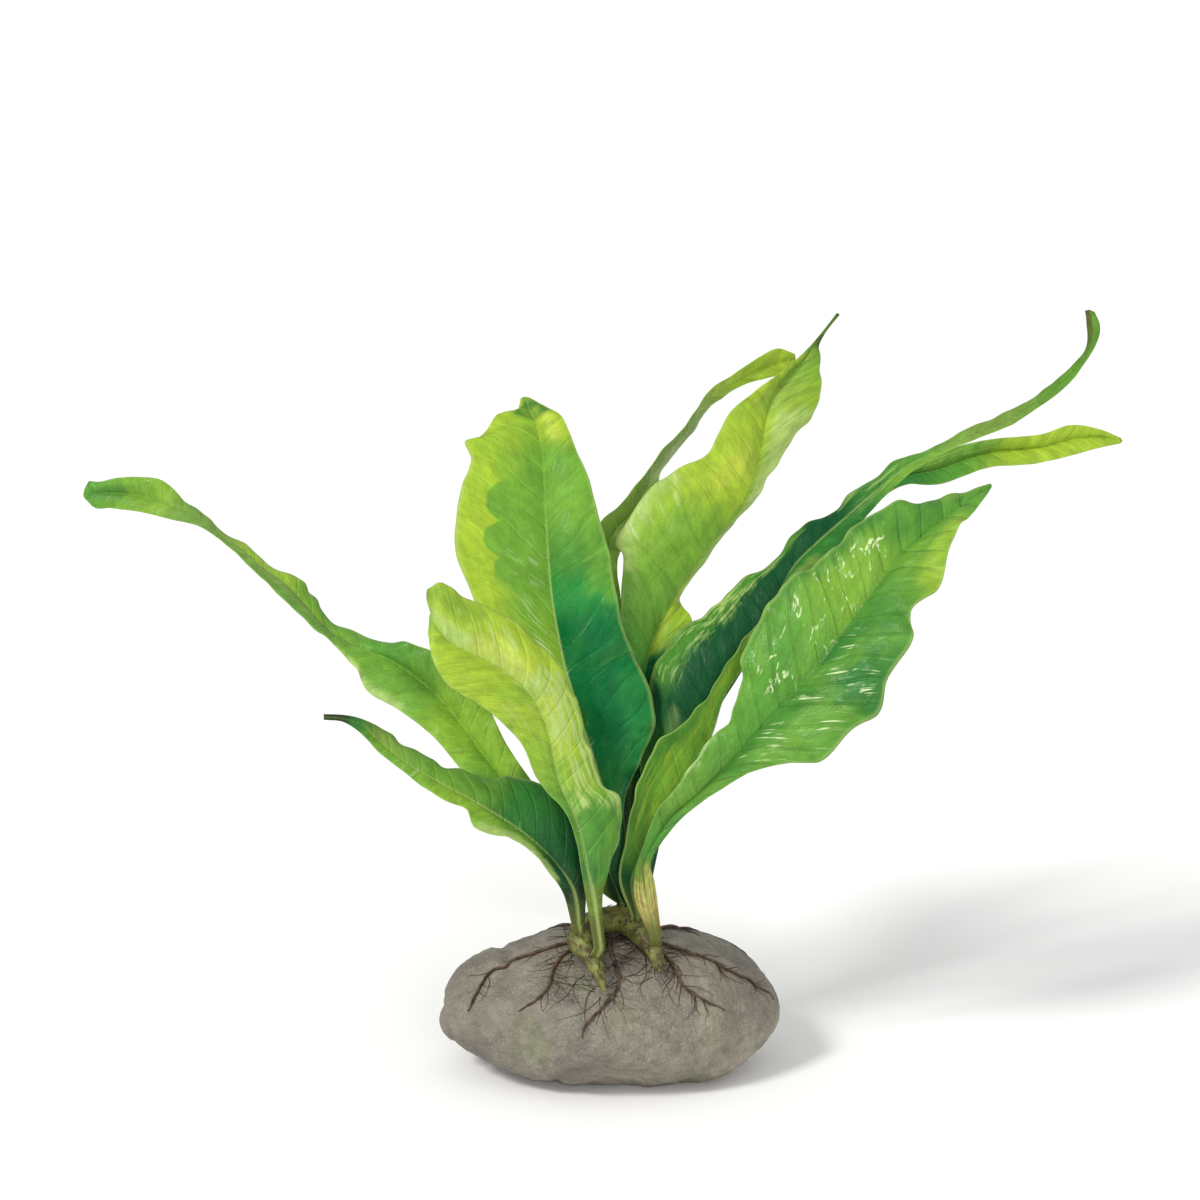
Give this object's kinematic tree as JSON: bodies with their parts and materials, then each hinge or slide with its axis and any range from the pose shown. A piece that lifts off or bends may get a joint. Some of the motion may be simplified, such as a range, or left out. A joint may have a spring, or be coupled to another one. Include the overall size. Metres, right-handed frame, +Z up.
{
  "type": "java fern on stone",
  "caption": "Aquarium fern with long, wavy, arching leaves standing on a creeping rhizome whose roots grip a rounded stone that rests on its flat underside.",
  "frame": {"origin": "centre of the stone's flat underside, on the surface it rests on, below the crown of the plant", "axes": "+Z up, +X to the viewer's right and +Y away from the viewer of the picture"},
  "size_m": [0.324, 0.1352, 0.2198],
  "materials": {
    "stone": "rough, slightly worn",
    "rhizome": "dull, scaly",
    "root": "dull, wiry",
    "leaf_olive": "wet leaf",
    "leaf_green": "wet leaf",
    "leaf_yellow": "wet leaf",
    "leaf_bright": "wet leaf",
    "leaf_dark": "wet leaf"
  },
  "bodies": {
    "root": {"stone": "stone", "rhizome": "rhizome", "root_1": "root", "root_2": "root", "root_3": "root", "root_4": "root", "root_5": "root", "root_6": "root", "root_7": "root", "root_8": "root", "leaf_far_left": "leaf_olive", "leaf_lower_left": "leaf_green", "leaf_front_left": "leaf_yellow", "leaf_tall_centre": "leaf_bright", "leaf_upper": "leaf_bright", "leaf_slender_rear": "leaf_olive", "leaf_long_right": "leaf_dark", "leaf_right_rear": "leaf_bright", "leaf_broad_right": "leaf_green"}
  },
  "joints": []
}
